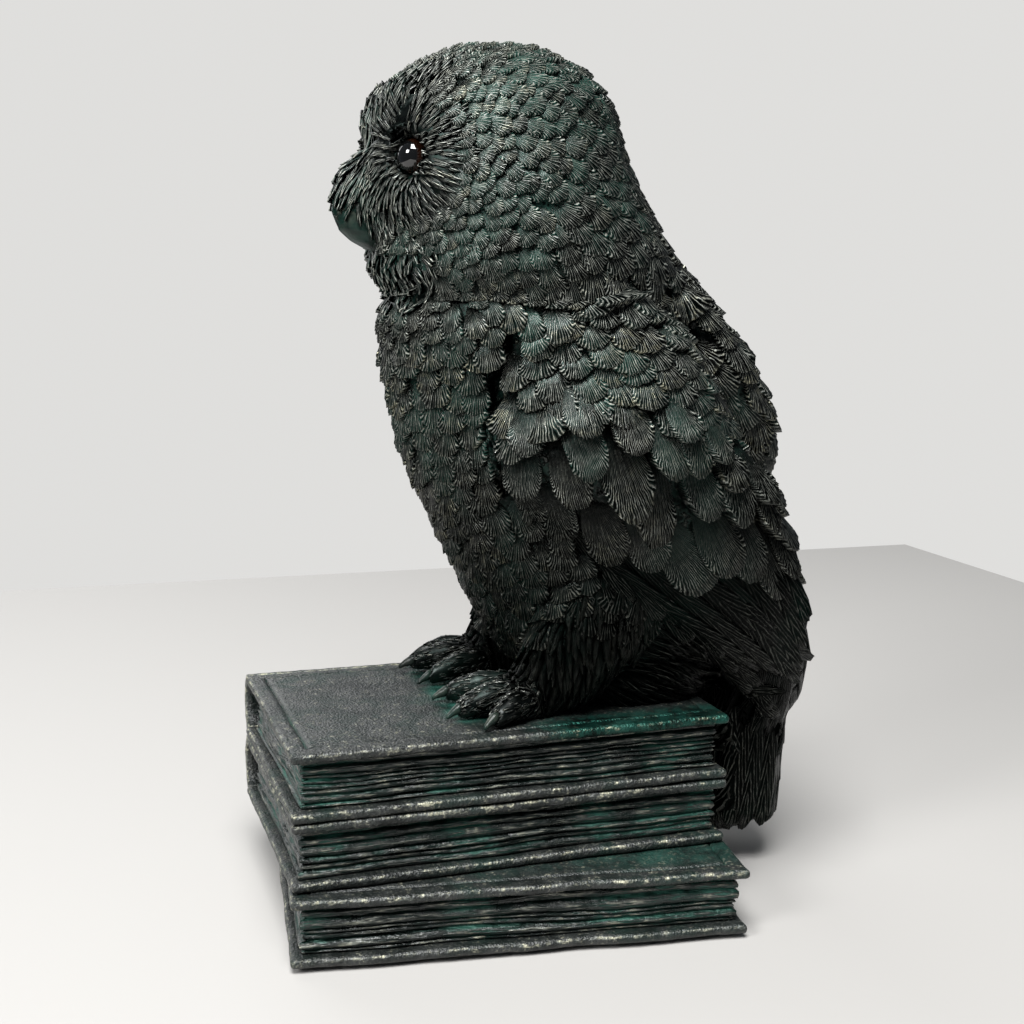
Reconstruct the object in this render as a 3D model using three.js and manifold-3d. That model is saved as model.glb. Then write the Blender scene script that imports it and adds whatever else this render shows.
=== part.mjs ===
// Owl-on-books bookend, millimetres, +Z up.
// The owl faces -X, its left side is -Y. The stack of three closed books is its base.
// Owl coordinates inside the file are measured from the near left corner of the upper books,
// with Z = 0 under the lowest board; one outer group moves everything to the origin.
import * as THREE from 'three';
import { mergeVertices } from 'three/addons/utils/BufferGeometryUtils.js';
import Module from 'manifold-3d';

const wasm = await Module();
wasm.setup();

// ---- driving dimensions ----
const GAP = 0.3;
const BOOK_LENGTH = 122;
const BOOK_DEPTH = 80;
const BOOK_THICKNESS = 18.3;
const BOARD = 2.6;
const BOARD_ROUND = 0.9;
const OVERHANG = 2.6;
const SPINE_RADIUS_DEPTH = 7;
const HINGE = 73;
const LOWER_BOOK_TURN = -0.129;
const LOWER_BOOK_SHIFT = [-1.0, -3.3];
const FELT_DIAMETER = 13;
const FELT_HEIGHT = 1.0;
const STACK_TOP = 3 * BOOK_THICKNESS + 2 * GAP;
const OWL_AXIS_Y = 40.5;
const EYE_RADIUS = 4.5;
const EYE_SOCKET_GAP = 0.35;

// ---- materials ----
const paints = {
  plumage: { color: 0x1b2421, roughness: 0.55, metalness: 0.15 },
  hair: { color: 0x202822, roughness: 0.6, metalness: 0.1 },
  horn: { color: 0x232c22, roughness: 0.4, metalness: 0.15 },
  eye: { color: 0x050505, roughness: 0.05, metalness: 0.0 },
  cover: { color: 0x1d2422, roughness: 0.6, metalness: 0.1 },
  pages: { color: 0x1a2b26, roughness: 0.65, metalness: 0.1 },
  felt: { color: 0x101412, roughness: 0.95, metalness: 0.0 },
};

// ---- solids ----
function toSolid(geometry) {
  const bare = geometry.clone();
  bare.deleteAttribute('normal');
  bare.deleteAttribute('uv');
  const merged = mergeVertices(bare, 1e-4);
  const vertProperties = new Float32Array(merged.attributes.position.array);
  const triVerts = new Uint32Array(merged.index.array);
  return new wasm.Manifold(new wasm.Mesh({ numProp: 3, vertProperties, triVerts }));
}

function toGeometry(solid) {
  const mesh = solid.getMesh();
  const geometry = new THREE.BufferGeometry();
  geometry.setAttribute('position', new THREE.BufferAttribute(Float32Array.from(mesh.vertProperties), 3));
  geometry.setIndex(Array.from(mesh.triVerts));
  geometry.computeVertexNormals();
  return geometry;
}

function cut(solid, ...cutters) {
  return cutters.reduce((left, cutter) => left.subtract(cutter), solid);
}

// The largest connected body of a cut, so that a node is never left with crumbs.
function largest(solid) {
  return solid.decompose().sort((a, b) => b.volume() - a.volume())[0];
}

// Catmull-Rom value between stations i and i+1 of a list of equal length arrays.
function between(stations, i, u) {
  const p0 = stations[Math.max(i - 1, 0)];
  const p1 = stations[i];
  const p2 = stations[i + 1];
  const p3 = stations[Math.min(i + 2, stations.length - 1)];
  return p1.map((value, k) => {
    const m1 = (p2[k] - p0[k]) / 2;
    const m2 = (p3[k] - p1[k]) / 2;
    const h = u * u * (3 - 2 * u);
    return value + h * (p2[k] - value) + (u * (1 - u) * (1 - u)) * m1 - (u * u * (1 - u)) * m2;
  });
}

// A closed rounded body through sections. Each section is [x, y, z, a, b]: its centre and its two
// half widths, a along axis u and b along axis v. start and end are the two closing points.
function body(options) {
  const { start, sections, end, u, v, across = 24, cap = 3, steps = 2, grow = 0, square = 2 } = options;
  const rings = [];
  const first = sections[0];
  const last = sections[sections.length - 1];
  for (let k = 0; k < cap; k += 1) {
    const angle = (k / cap) * Math.PI / 2;
    const along = 1 - Math.cos(angle);
    const centre = [0, 1, 2].map((n) => start[n] + (first[n] - start[n]) * along);
    rings.push([...centre, first[3], first[4], Math.sin(angle)]);
  }
  for (let i = 0; i < sections.length - 1; i += 1) {
    for (let k = 0; k < steps; k += 1) {
      rings.push([...between(sections, i, k / steps), 1]);
    }
  }
  rings.push([...last, 1]);
  for (let k = 1; k <= cap; k += 1) {
    const angle = (k / cap) * Math.PI / 2;
    const along = Math.sin(angle);
    const centre = [0, 1, 2].map((n) => last[n] + (end[n] - last[n]) * along);
    rings.push([...centre, last[3], last[4], Math.cos(angle)]);
  }
  const axisU = new THREE.Vector3(...u).normalize();
  const axisV = new THREE.Vector3(...v).normalize();
  const run = new THREE.Vector3(...end).sub(new THREE.Vector3(...start)).normalize();
  const rows = rings.length - 1;
  const geometry = new THREE.SphereGeometry(1, across, rows);
  const position = geometry.attributes.position;
  const point = new THREE.Vector3();
  for (let i = 0; i < position.count; i += 1) {
    point.fromBufferAttribute(position, i);
    const row = Math.round(Math.acos(THREE.MathUtils.clamp(point.y, -1, 1)) / Math.PI * rows);
    const ring = rings[row];
    const angle = Math.atan2(point.z, point.x);
    const c = Math.cos(angle);
    const s = Math.sin(angle);
    const cs = Math.sign(c) * Math.abs(c) ** (2 / square);
    const ss = Math.sign(s) * Math.abs(s) ** (2 / square);
    const tip = row === 0 ? -grow : row === rows ? grow : 0;
    const ringU = (ring[3] * ring[5] + (row === 0 || row === rows ? 0 : grow)) * cs;
    const ringV = (ring[4] * ring[5] + (row === 0 || row === rows ? 0 : grow)) * ss;
    const onAxis = row === 0 || row === rows ? 0 : 1;
    point.set(ring[0], ring[1], ring[2]);
    point.addScaledVector(axisU, ringU * onAxis);
    point.addScaledVector(axisV, ringV * onAxis);
    point.addScaledVector(run, tip);
    position.setXYZ(i, point.x, point.y, point.z);
  }
  const solid = toSolid(geometry);
  return solid.volume() > 0 ? solid : toSolid(flipped(geometry));
}

function flipped(geometry) {
  const turned = geometry.clone();
  const index = turned.index.array;
  for (let i = 0; i < index.length; i += 3) {
    const keep = index[i];
    index[i] = index[i + 1];
    index[i + 1] = keep;
  }
  return turned;
}

function mirrored(options) {
  const flip = (p) => [p[0], 2 * OWL_AXIS_Y - p[1], ...p.slice(2)];
  return { ...options, start: flip(options.start), end: flip(options.end), sections: options.sections.map(flip) };
}

function ball(x, y, z, radius, across = 20, rows = 12) {
  const geometry = new THREE.SphereGeometry(radius, across, rows);
  geometry.rotateX(Math.PI / 2);
  geometry.translate(x, y, z);
  return toSolid(geometry);
}

function box(x0, x1, y0, y1, z0, z1) {
  const geometry = new THREE.BoxGeometry(x1 - x0, y1 - y0, z1 - z0);
  geometry.translate((x0 + x1) / 2, (y0 + y1) / 2, (z0 + z1) / 2);
  return toSolid(geometry);
}

function sideY(side, y) {
  return side === 'left' ? y : 2 * OWL_AXIS_Y - y;
}

function onSide(side, options) {
  return side === 'left' ? options : mirrored(options);
}

// ---- owl sections ----
const X = [1, 0, 0];
const Y = [0, 1, 0];
const Z = [0, 0, 1];
const C = OWL_AXIS_Y;

const HEAD = {
  u: X, v: Y, across: 24, cap: 4, steps: 1,
  start: [64, C, 234],
  sections: [
    [63, C, 210, 33.5, 35],
    [65, C, 199, 36.5, 38],
    [69, C, 187, 39.5, 39.5],
    [73, C, 175, 43.5, 40],
  ],
  end: [76, C, 161],
};

const TORSO = {
  u: X, v: Y, across: 24, cap: 3, steps: 1,
  start: [90, C, 179],
  sections: [
    [77, C, 163, 44, 36],
    [82.5, C, 150, 49, 37],
    [88, C, 135, 51, 37.5],
    [92, C, 120, 50.5, 37],
    [97, C, 105, 48, 36],
    [101.5, C, 90, 45, 34],
    [104, C, 76, 40, 31],
  ],
  end: [104, C, 59],
};

const MANTLE = {
  u: [0.91, 0, 0.41], v: Y, across: 18, cap: 3, steps: 1, square: 2.4,
  start: [103, C, 181],
  sections: [
    [111, C, 167, 9, 28],
    [123, C, 150, 11, 31],
    [134, C, 133, 11, 26],
  ],
  end: [142, C, 112],
};

const BROW = {
  u: X, v: [0, 0.8, 0.6], across: 10, cap: 2, steps: 1,
  start: [30, C - 2.2, 200],
  sections: [
    [31, C - 4.5, 206, 3.2, 3],
    [31.5, C - 7.5, 213, 4, 4.6],
    [36, C - 12, 221, 4.5, 5.4],
  ],
  end: [46, C - 16, 227],
};

const BRISTLES = {
  u: X, v: Y, across: 12, cap: 3, steps: 1,
  start: [31, C, 207],
  sections: [
    [31.5, C, 200, 6.5, 6],
    [31, C, 193.5, 8.8, 10],
    [34, C, 187.5, 8.6, 12],
  ],
  end: [38, C, 179],
};

const BEAK = {
  u: X, v: Y, across: 14, cap: 3, steps: 1,
  start: [26.5, C, 196],
  sections: [
    [25.6, C, 190, 6, 5],
    [26.6, C, 184.8, 6, 5.8],
  ],
  end: [31.5, C, 179.2],
};

const LEFT_SHOULDER = {
  u: [0.823, 0, 0.568], v: Y, across: 20, cap: 3, steps: 1, square: 2.3,
  start: [68, 18, 172],
  sections: [
    [76, 14, 156, 23, 15.5],
    [83, 10, 141, 30, 17],
    [94, 9, 127, 27, 16.5],
  ],
  end: [106, 11, 110],
};

const LEFT_FANS = {
  u: [0.3, 0, 0.95], v: Y, across: 20, cap: 3, steps: 1, square: 2.4,
  start: [53, 17, 138],
  sections: [
    [66, 13.5, 131, 16, 14.5],
    [90, 9.5, 121, 20, 15.5],
    [115, 11.5, 113, 18, 14.5],
    [135, 16.5, 104, 14.5, 12],
  ],
  end: [151, 22, 91],
};

const LEFT_PRIMARIES = {
  u: [0.65, 0, 0.76], v: Y, across: 18, cap: 3, steps: 1, square: 2.6,
  start: [72, 16, 138],
  sections: [
    [99, 12, 121, 29, 13],
    [117, 12, 103, 24, 13],
    [133, 16, 85, 20, 11.5],
    [146, 21.5, 65, 14, 8.5],
  ],
  end: [154, 25, 46],
};

const TAIL = {
  u: X, v: Y, across: 16, cap: 2, steps: 1, square: 4,
  start: [128, C, 112],
  sections: [
    [134, C, 88, 16, 19],
    [141, C, 62, 14, 20],
    [143, C, 40, 12.5, 19],
    [143, C, 13, 11.5, 16.5],
  ],
  end: [143, C, 9],
};

const UNDERTAIL = {
  u: Y, v: Z, across: 16, cap: 3, steps: 1,
  start: [78, C, 62],
  sections: [
    [96, C, 62, 28, 15],
    [114, C, 64, 28, 17],
  ],
  end: [131, C, 68],
};

const LEFT_LEG = {
  u: X, v: Y, across: 16, cap: 3, steps: 1,
  start: [102, 20, 114],
  sections: [
    [95, 19, 94, 19, 15],
    [86, 19, 76, 17, 14.5],
    [79, 20, 64.5, 12.5, 12.5],
  ],
  end: [76, 21, 55.5],
};

const LEFT_INSTEP = {
  u: Y, v: Z, across: 10, cap: 2, steps: 1,
  start: [80, 22, 58],
  sections: [
    [70, 20, 59.5, 10, 6.2],
    [64, 19.5, 59, 11, 5],
  ],
  end: [57, 19, 57.5],
};

// Each toe is [name, knuckle point, tip point, half width, half height].
const LEFT_TOES = [
  ['inner', [65, 29, 60.5], [50.5, 32, 58.6], 3.6, 3.9],
  ['middle', [64, 20, 60.5], [49.5, 16.5, 58.6], 3.9, 4.1],
  ['outer', [66, 12, 60.5], [56, 6.5, 58.6], 3.6, 3.9],
];

function toeOptions(toe) {
  const [, root, tip, halfWidth, halfHeight] = toe;
  const run = new THREE.Vector3(...tip).sub(new THREE.Vector3(...root)).normalize();
  const side = new THREE.Vector3(-run.y, run.x, 0).normalize();
  const mid = root.map((value, k) => (value + tip[k]) / 2);
  return {
    u: side.toArray(), v: Z, across: 10, cap: 2, steps: 1,
    start: root.map((value, k) => value - run.getComponent(k) * 4),
    sections: [
      [...root, halfWidth, halfHeight],
      [mid[0], mid[1], mid[2] + 0.8, halfWidth, halfHeight],
      [...tip, halfWidth * 0.75, halfHeight * 0.7],
    ],
    end: tip.map((value, k) => value + run.getComponent(k) * 2.4),
  };
}

function clawOptions(toe) {
  const [, root, tip] = toe;
  const run = new THREE.Vector3(...tip).sub(new THREE.Vector3(...root)).normalize();
  const side = new THREE.Vector3(-run.y, run.x, 0).normalize();
  const at = (distance, z) => [tip[0] + run.x * distance, tip[1] + run.y * distance, z];
  return {
    u: side.toArray(), v: Z, across: 8, cap: 2, steps: 1,
    start: at(-1.2, 59.2),
    sections: [
      [...at(1.4, 58.7), 1.5, 1.7],
      [...at(3.2, 57.9), 1.1, 1.2],
    ],
    end: at(5.4, 56.4),
  };
}

// ---- owl solids ----
const grown = (options, grow = 0.45) => body({ ...options, grow });
const solids = {};
const floorCut = box(-60, BOOK_LENGTH + 0.8, -60, 160, -5, STACK_TOP + GAP);

const headGrown = grown(HEAD);
const torsoGrown = grown(TORSO);
const mantleGrown = grown(MANTLE);
const beakGrown = grown(BEAK);
const bristlesGrown = grown(BRISTLES);
const eyes = { left: [36.6, C - 17, 203.2], right: [36.6, C + 17, 203.2] };
const FACE_NORMAL = [-0.82, -0.57];
const sides = ['left', 'right'];

function outward(side, distance) {
  const [x, y, z] = eyes[side];
  const turn = side === 'left' ? 1 : -1;
  return [x + FACE_NORMAL[0] * distance, y + FACE_NORMAL[1] * distance * turn, z];
}

const sockets = sides.map((side) => ball(...eyes[side], EYE_RADIUS + EYE_SOCKET_GAP, 16, 8));
const dishes = sides.map((side) => ball(...outward(side, 9.5), 8.6, 16, 8));
const browsGrown = sides.map((side) => body({ ...onSide(side, BROW), grow: 0.45 }));

solids.head = cut(body(HEAD), ...sockets, ...dishes, ...browsGrown, bristlesGrown, beakGrown);
solids.beak = body(BEAK);
solids.rictal_bristles = cut(body(BRISTLES), beakGrown, ...browsGrown, ...sockets);
for (const side of sides) {
  const k = sides.indexOf(side);
  solids[`${side}_eye`] = ball(...eyes[side], EYE_RADIUS, 16, 10);
  solids[`${side}_brow`] = cut(body(onSide(side, BROW)), ...sockets);
  const patch = body({ ...HEAD, grow: 1.9 }).intersect(ball(...outward(side, 1), 16, 18, 10));
  const half = side === 'left' ? box(0, 90, -20, C - 0.2, 100, 260) : box(0, 90, C + 0.2, 120, 100, 260);
  solids[`${side}_facial_disc`] = cut(
    patch.intersect(half), headGrown, sockets[k], dishes[k], browsGrown[k], bristlesGrown, beakGrown,
  );
}

solids.torso = cut(body(TORSO), headGrown, floorCut);
solids.mantle = cut(body(MANTLE), headGrown, torsoGrown);
for (const side of sides) {
  const shoulder = onSide(side, LEFT_SHOULDER);
  const fans = onSide(side, LEFT_FANS);
  const primaries = onSide(side, LEFT_PRIMARIES);
  const middle = side === 'left' ? box(0, 220, C - 2, 140, 0, 260) : box(0, 220, -60, C + 2, 0, 260);
  solids[`${side}_wing_shoulder`] = cut(body(shoulder), headGrown, torsoGrown, mantleGrown, middle);
  solids[`${side}_wing_coverts`] = cut(
    body(fans), headGrown, torsoGrown, mantleGrown, grown(shoulder), middle,
  );
  solids[`${side}_wing_primaries`] = cut(
    body(primaries), headGrown, torsoGrown, mantleGrown, grown(shoulder), grown(fans), middle, floorCut,
  );
}

const legsGrown = sides.map((side) => grown(onSide(side, LEFT_LEG)));
const wingCuts = sides.flatMap((side) => [
  grown(onSide(side, LEFT_SHOULDER)), grown(onSide(side, LEFT_FANS)), grown(onSide(side, LEFT_PRIMARIES)),
]);
const tailGrown = grown(TAIL);
for (const side of sides) {
  const k = sides.indexOf(side);
  solids[`${side}_leg`] = cut(body(onSide(side, LEFT_LEG)), torsoGrown, legsGrown[1 - k], floorCut, ...wingCuts);
}
const lowerEnd = box(-60, BOOK_LENGTH + 10, -60, 160, -5, BOOK_THICKNESS + 2);
solids.tail = cut(body(TAIL), torsoGrown, ...wingCuts, floorCut, lowerEnd);
solids.undertail = cut(body(UNDERTAIL), torsoGrown, ...legsGrown, ...wingCuts, tailGrown, floorCut);

for (const side of sides) {
  const k = sides.indexOf(side);
  const place = (options) => onSide(side, options);
  const instep = place(LEFT_INSTEP);
  solids[`${side}_instep`] = cut(body(instep), legsGrown[k], torsoGrown, floorCut);
  const toes = LEFT_TOES.map((toe) => [toe[0], place(toeOptions(toe)), place(clawOptions(toe))]);
  toes.forEach(([name, toe, claw], n) => {
    const others = toes.slice(0, n).map((other) => grown(other[1]));
    solids[`${side}_toe_${name}`] = cut(
      body(toe), grown(instep), legsGrown[k], grown(claw, 0.4), ...others, floorCut,
    );
    solids[`${side}_claw_${name}`] = cut(body(claw), floorCut, grown(instep));
  });
}

// ---- book pieces, in the frame of one book: X along it, Y from the fore edge to the spine ----
function roundedRect(x0, y0, x1, y1, radius) {
  const shape = new THREE.Shape();
  shape.moveTo(x0 + radius, y0);
  shape.lineTo(x1 - radius, y0);
  shape.absarc(x1 - radius, y0 + radius, radius, -Math.PI / 2, 0, false);
  shape.lineTo(x1, y1 - radius);
  shape.absarc(x1 - radius, y1 - radius, radius, 0, Math.PI / 2, false);
  shape.lineTo(x0 + radius, y1);
  shape.absarc(x0 + radius, y1 - radius, radius, Math.PI / 2, Math.PI, false);
  shape.lineTo(x0, y0 + radius);
  shape.absarc(x0 + radius, y0 + radius, radius, Math.PI, Math.PI * 1.5, false);
  return shape;
}

function boardGeometry() {
  const shape = roundedRect(BOARD_ROUND, BOARD_ROUND, BOOK_LENGTH - BOARD_ROUND, HINGE - BOARD_ROUND, 1.2);
  const geometry = new THREE.ExtrudeGeometry(shape, {
    depth: BOARD - 2 * BOARD_ROUND,
    bevelEnabled: true,
    bevelThickness: BOARD_ROUND,
    bevelSize: BOARD_ROUND,
    bevelSegments: 2,
    curveSegments: 1,
  });
  geometry.translate(0, 0, BOARD_ROUND);
  return geometry;
}

// An outline in the plane across the book, pushed along its length.
function alongBook(shape, x0, x1) {
  const geometry = new THREE.ExtrudeGeometry(shape, { depth: x1 - x0, bevelEnabled: false, curveSegments: 10 });
  geometry.applyMatrix4(new THREE.Matrix4().makeBasis(
    new THREE.Vector3(0, 1, 0), new THREE.Vector3(0, 0, 1), new THREE.Vector3(1, 0, 0),
  ));
  geometry.translate(x0, 0, 0);
  return geometry;
}

function spineGeometry() {
  const half = BOOK_THICKNESS / 2;
  const start = HINGE + GAP;
  const shape = new THREE.Shape();
  shape.moveTo(start, 0);
  shape.ellipse(0, half, SPINE_RADIUS_DEPTH, half, -Math.PI / 2, Math.PI / 2, false);
  shape.lineTo(start, BOOK_THICKNESS - BOARD);
  shape.ellipse(0, BOARD - half, SPINE_RADIUS_DEPTH - BOARD, half - BOARD, Math.PI / 2, -Math.PI / 2, true);
  shape.lineTo(start, 0);
  return alongBook(shape, 0.6, BOOK_LENGTH - 0.6);
}

// The page block is hollow-backed: its back is round and stays clear of the spine. Its fore edge
// is stepped, as the leaves have settled into a few uneven gatherings.
function pagesGeometry() {
  const z0 = BOARD + GAP;
  const z1 = BOOK_THICKNESS - BOARD - GAP;
  const layers = 6;
  const shape = new THREE.Shape();
  shape.moveTo(OVERHANG, z0);
  shape.lineTo(HINGE - 6, z0);
  shape.quadraticCurveTo(HINGE - 1.5, (z0 + z1) / 2, HINGE - 6, z1);
  shape.lineTo(OVERHANG + 1, z1);
  for (let i = layers - 1; i >= 0; i -= 1) {
    const low = z0 + ((z1 - z0) * i) / layers;
    const high = z0 + ((z1 - z0) * (i + 1)) / layers;
    const face = OVERHANG + 1 - 0.9 * (1 - i / layers) + (i % 2) * 0.35;
    shape.lineTo(face, high - 0.25);
    shape.lineTo(face, low + 0.35);
    shape.lineTo(face + 0.7, low + 0.1);
  }
  shape.lineTo(OVERHANG, z0);
  return alongBook(shape, OVERHANG - 0.4, BOOK_LENGTH - OVERHANG + 0.4);
}

// ---- assembly ----
const bookend = new THREE.Group();
const model = new THREE.Group();
bookend.add(model);

function addMesh(parent, name, geometry, paint) {
  const mesh = new THREE.Mesh(geometry, new THREE.MeshStandardMaterial(paints[paint]));
  mesh.name = name;
  parent.add(mesh);
  return mesh;
}

const storeys = ['lower', 'middle', 'upper'];
storeys.forEach((storey, level) => {
  const book = new THREE.Group();
  book.position.z = level * (BOOK_THICKNESS + GAP);
  if (storey === 'lower') {
    book.rotation.z = LOWER_BOOK_TURN;
    book.position.x = LOWER_BOOK_SHIFT[0];
    book.position.y = LOWER_BOOK_SHIFT[1];
  }
  model.add(book);
  addMesh(book, `${storey}_book_bottom_board`, boardGeometry(), 'cover');
  const top = addMesh(book, `${storey}_book_top_board`, boardGeometry(), 'cover');
  top.position.z = BOOK_THICKNESS - BOARD;
  addMesh(book, `${storey}_book_spine`, spineGeometry(), 'cover');
  addMesh(book, `${storey}_book_pages`, pagesGeometry(), 'pages');
  if (storey === 'lower') {
    [[14, 14], [108, 14], [14, 60], [108, 60]].forEach(([x, y], n) => {
      const felt = new THREE.CylinderGeometry(FELT_DIAMETER / 2, FELT_DIAMETER / 2, FELT_HEIGHT, 16);
      const pad = addMesh(book, `felt_pad_${n + 1}`, felt, 'felt');
      pad.rotation.x = Math.PI / 2;
      pad.position.set(x, y, -GAP - FELT_HEIGHT / 2);
    });
  }
});

const paintOf = (name) => {
  if (name.endsWith('_eye')) return 'eye';
  if (name === 'beak' || name.includes('claw')) return 'horn';
  if (/brow|disc|bristles|toe|instep|leg|undertail/.test(name)) return 'hair';
  return 'plumage';
};
for (const [name, solid] of Object.entries(solids)) {
  addMesh(model, name, toGeometry(largest(solid)), paintOf(name));
}

// The origin is the middle of the box's underside.
bookend.updateMatrixWorld(true);
const bounds = new THREE.Box3().setFromObject(bookend, true);
model.position.set(
  -(bounds.min.x + bounds.max.x) / 2,
  -(bounds.min.y + bounds.max.y) / 2,
  -bounds.min.z,
);

export default bookend;
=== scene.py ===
"""Owl perched on a stack of three closed books: the fine surface of a cast and painted bookend."""
import math
import random

import bmesh
import bpy
from mathutils import Matrix, Vector, noise
from mathutils.bvhtree import BVHTree


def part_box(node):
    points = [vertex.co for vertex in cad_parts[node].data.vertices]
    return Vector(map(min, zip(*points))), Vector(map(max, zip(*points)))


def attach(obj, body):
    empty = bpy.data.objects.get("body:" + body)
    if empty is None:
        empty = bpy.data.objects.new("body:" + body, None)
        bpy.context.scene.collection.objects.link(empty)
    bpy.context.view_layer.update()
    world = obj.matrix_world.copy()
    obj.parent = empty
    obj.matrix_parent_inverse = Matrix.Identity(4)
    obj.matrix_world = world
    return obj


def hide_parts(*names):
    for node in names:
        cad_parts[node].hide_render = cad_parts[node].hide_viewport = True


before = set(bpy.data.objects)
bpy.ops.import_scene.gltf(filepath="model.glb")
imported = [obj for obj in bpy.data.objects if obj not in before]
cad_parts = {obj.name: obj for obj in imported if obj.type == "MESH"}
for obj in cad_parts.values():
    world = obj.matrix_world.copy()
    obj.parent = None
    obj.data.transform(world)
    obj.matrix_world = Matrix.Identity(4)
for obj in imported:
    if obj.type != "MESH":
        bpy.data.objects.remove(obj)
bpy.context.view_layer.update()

MM = 0.001
BODY = "root"
BOOK_LENGTH, BOOK_THICKNESS, BOOK_GAP = 122.0, 18.3, 0.3
BOARD, BOARD_ROUND, HINGE, OVERHANG = 2.6, 0.9, 73.0, 2.6
STOREY = BOOK_THICKNESS + BOOK_GAP
LOWER_TURN, LOWER_SHIFT = -0.129, (-1.0, -3.3)
MIDDLE_Y = 40.5
SIDES = ("left", "right")
TOES = ("inner", "middle", "outer")
RIGHT_ANGLE = math.pi / 2
SHARP = 1.0                       # edges that turn by more than this many radians are rounded
SKIRT = 0.7                       # how far a feather's rim reaches under the skin
# The skin between feathers gets a low crest, which paints it near black as painted shade.
BARE_CREST, BARE_TONE = 0.12, 0.75    # what the skin between feathers says where they say theirs

# The near left lower corner of the two upright books is where owl and books are measured from.
CORNER = Vector((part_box("upper_book_top_board")[0][0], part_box("upper_book_top_board")[0][1],
                 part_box("lower_book_bottom_board")[0][2]))


def at(x, y, z):
    """A point given in millimetres from the corner of the stack, in the row frame."""
    return CORNER + Vector((x, y, z)) * MM


def local(point):
    """The millimetres from the corner of the stack of a point in the row frame."""
    return (Vector(point) - CORNER) / MM


def smooth(low, high, value):
    """0 below low, 1 above high, and a soft step between."""
    t = min(max((value - low) / (high - low), 0.0), 1.0)
    return t * t * (3 - 2 * t)


# ---------------------------------------------------------------- camera, floor and light

def build_stage():
    camera = bpy.data.cameras.new("viewer")
    viewer = bpy.data.objects.new("viewer", camera)
    bpy.context.scene.collection.objects.link(viewer)
    camera.sensor_width = 36.0
    camera.lens = 49.2
    camera.clip_start = 0.01
    place = at(-59.94, -329.63, 175.57)
    yaw, pitch, roll = 0.3398, 0.1718, 0.0219
    turn = (Matrix.Rotation(-yaw, 4, "Z") @ Matrix.Rotation(RIGHT_ANGLE - pitch, 4, "X")
            @ Matrix.Rotation(roll, 4, "Z"))
    viewer.matrix_world = Matrix.Translation(place) @ turn
    bpy.context.scene.camera = viewer

    bm = bmesh.new()
    bmesh.ops.create_grid(bm, x_segments=1, y_segments=1, size=0.42)
    floor = finish_mesh(bm, "floor", paint_floor(), ride=False, soft=False)

    bpy.context.scene.view_settings.view_transform = "Standard"
    world = bpy.data.worlds.new("studio")
    bpy.context.scene.world = world
    world.use_nodes = True
    p = Paint(world.node_tree)
    fill = world.node_tree.nodes["Background"]
    fill.inputs["Color"].default_value = (0.80, 0.90, 1.0, 1)
    fill.inputs["Strength"].default_value = 0.11
    seen = p.node("ShaderNodeBackground")
    seen.inputs["Color"].default_value = (0.74, 0.735, 0.72, 1)
    both = p.node("ShaderNodeMixShader")
    p.link(p.node("ShaderNodeLightPath").outputs["Is Camera Ray"], both.inputs[0])
    p.link(fill.outputs[0], both.inputs[1])
    p.link(seen.outputs[0], both.inputs[2])
    p.link(both.outputs[0], world.node_tree.nodes["World Output"].inputs["Surface"])
    for name, spot, aim, size, power in (
        ("ceiling", (-0.28, -0.52, 1.26), (0, 0, 0.1), 0.65, 36.0),
        ("far_wall", (-0.35, 1.35, 0.8), (0, 0, 0.12), 1.2, 10.0),
        ("window", (-1.25, -0.55, 0.85), (0, 0, 0.14), 0.45, 15.0),
    ):
        lamp = bpy.data.lights.new(name, "AREA")
        lamp.size = size
        lamp.energy = power
        holder = bpy.data.objects.new(name, lamp)
        bpy.context.scene.collection.objects.link(holder)
        holder.location = spot
        holder.rotation_euler = (Vector(aim) - Vector(spot)).to_track_quat("-Z", "Y").to_euler()
        holder.visible_camera = False


# ---------------------------------------------------------------- shader helpers

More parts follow.
